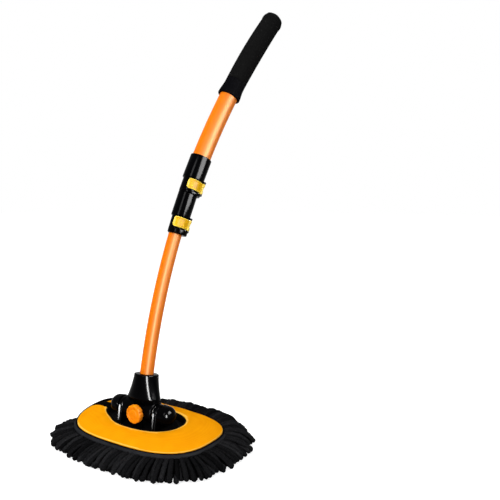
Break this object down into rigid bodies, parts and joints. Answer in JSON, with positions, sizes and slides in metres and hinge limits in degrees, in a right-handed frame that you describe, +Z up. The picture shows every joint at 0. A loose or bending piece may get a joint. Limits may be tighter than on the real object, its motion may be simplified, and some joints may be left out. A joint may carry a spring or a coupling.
{
  "type": "car wash brush",
  "caption": "Chenille wash pad with a padded cover, a tilting joint with a lock knob, and a curved telescopic pole with lever clamps and a foam grip.",
  "frame": {"origin": "foot of the middle noodle, on the floor under the middle of the pad", "axes": "+Z up, +X along the pad to the side that the pole bends to, +Y to the back of the pad, to which the pole leans"},
  "size_m": [0.287, 0.3218, 0.6191],
  "materials": {
    "noodle": "matt chenille",
    "pad_foam": "matt foam",
    "black_board": "matt",
    "cover": "woven, matt",
    "binding": "woven tape",
    "gloss_black": "gloss",
    "orange_knob": "satin",
    "yellow_lever": "satin",
    "orange_tube": "gloss orange lacquer",
    "white_plastic": "satin",
    "grip_plastic": "satin",
    "grip_foam": "matt foam",
    "steel": "satin"
  },
  "bodies": {
    "head": {"base_plate": "black_board", "pad_foam": "pad_foam", "chenille_front_left": "noodle", "chenille_front_right": "noodle", "chenille_back_left": "noodle", "chenille_back_right": "noodle", "cover_panel": "cover", "outer_binding": "binding", "opening_binding": "binding", "yoke_base": "gloss_black", "base_screw_front_left": "steel", "base_screw_front_right": "steel", "base_screw_back_left": "steel", "base_screw_back_right": "steel", "pivot_bolt": "steel", "pivot_nut": "steel", "friction_washer_left": "white_plastic", "friction_washer_right": "white_plastic", "pivot_cap_left": "gloss_black", "pivot_cap_right": "gloss_black"},
    "brake_shoe": {"brake_shoe": "white_plastic"},
    "lock_knob": {"lock_knob": "orange_knob", "lock_screw": "steel"},
    "lower_pole": {"handle_socket": "gloss_black", "socket_screw": "steel", "lower_tube": "orange_tube", "lower_tube_bush": "white_plastic"},
    "middle_pole": {"middle_tube": "orange_tube", "middle_tube_bush": "white_plastic", "lower_clamp_collar": "gloss_black", "lower_lever_pin": "steel"},
    "lower_lever": {"lower_clamp_lever": "yellow_lever"},
    "upper_pole": {"upper_tube": "orange_tube", "upper_clamp_collar": "gloss_black", "upper_lever_pin": "steel", "grip_collar": "grip_plastic", "grip_sleeve": "grip_foam", "grip_end_cap": "grip_plastic"},
    "upper_lever": {"upper_clamp_lever": "yellow_lever"}
  },
  "joints": [
    {"name": "pole_tilt", "type": "hinge", "parent": "head", "child": "lower_pole", "pos_m": [0, -0.0116, 0.048], "axis": [-1, 0, 0], "range_deg": [-12, 60]},
    {"name": "lower_slide", "type": "hinge", "parent": "lower_pole", "child": "middle_pole", "pos_m": [0.7154, 0.96959, -0.10144], "axis": [-0.8111, 0.575, -0.1076], "range_deg": [0, 10.5]},
    {"name": "upper_slide", "type": "hinge", "parent": "middle_pole", "child": "upper_pole", "pos_m": [0.7154, 0.96959, -0.10144], "axis": [-0.8111, 0.575, -0.1076], "range_deg": [0, 10.5]},
    {"name": "lower_lever_flip", "type": "hinge", "parent": "middle_pole", "child": "lower_lever", "pos_m": [0.02526, 0.0614, 0.29974], "axis": [0.1099, 0.3305, 0.9374], "range_deg": [0, 110]},
    {"name": "upper_lever_flip", "type": "hinge", "parent": "upper_pole", "child": "upper_lever", "pos_m": [0.03388, 0.08196, 0.35158], "axis": [0.1366, 0.3651, 0.9209], "range_deg": [0, 110]},
    {"name": "shoe_slide", "type": "slide", "parent": "head", "child": "brake_shoe", "axis": [0, -1, 0], "range_m": [0, 0.001]},
    {"name": "knob_turn", "type": "hinge", "parent": "brake_shoe", "child": "lock_knob", "pos_m": [0.003, -0.03, 0.048], "axis": [0, -1, 0], "range_deg": [0, 360]}
  ],
  "couplings": [
    {"joint": "shoe_slide", "follows": "knob_turn", "m_per_rad": 0.000159}
  ]
}
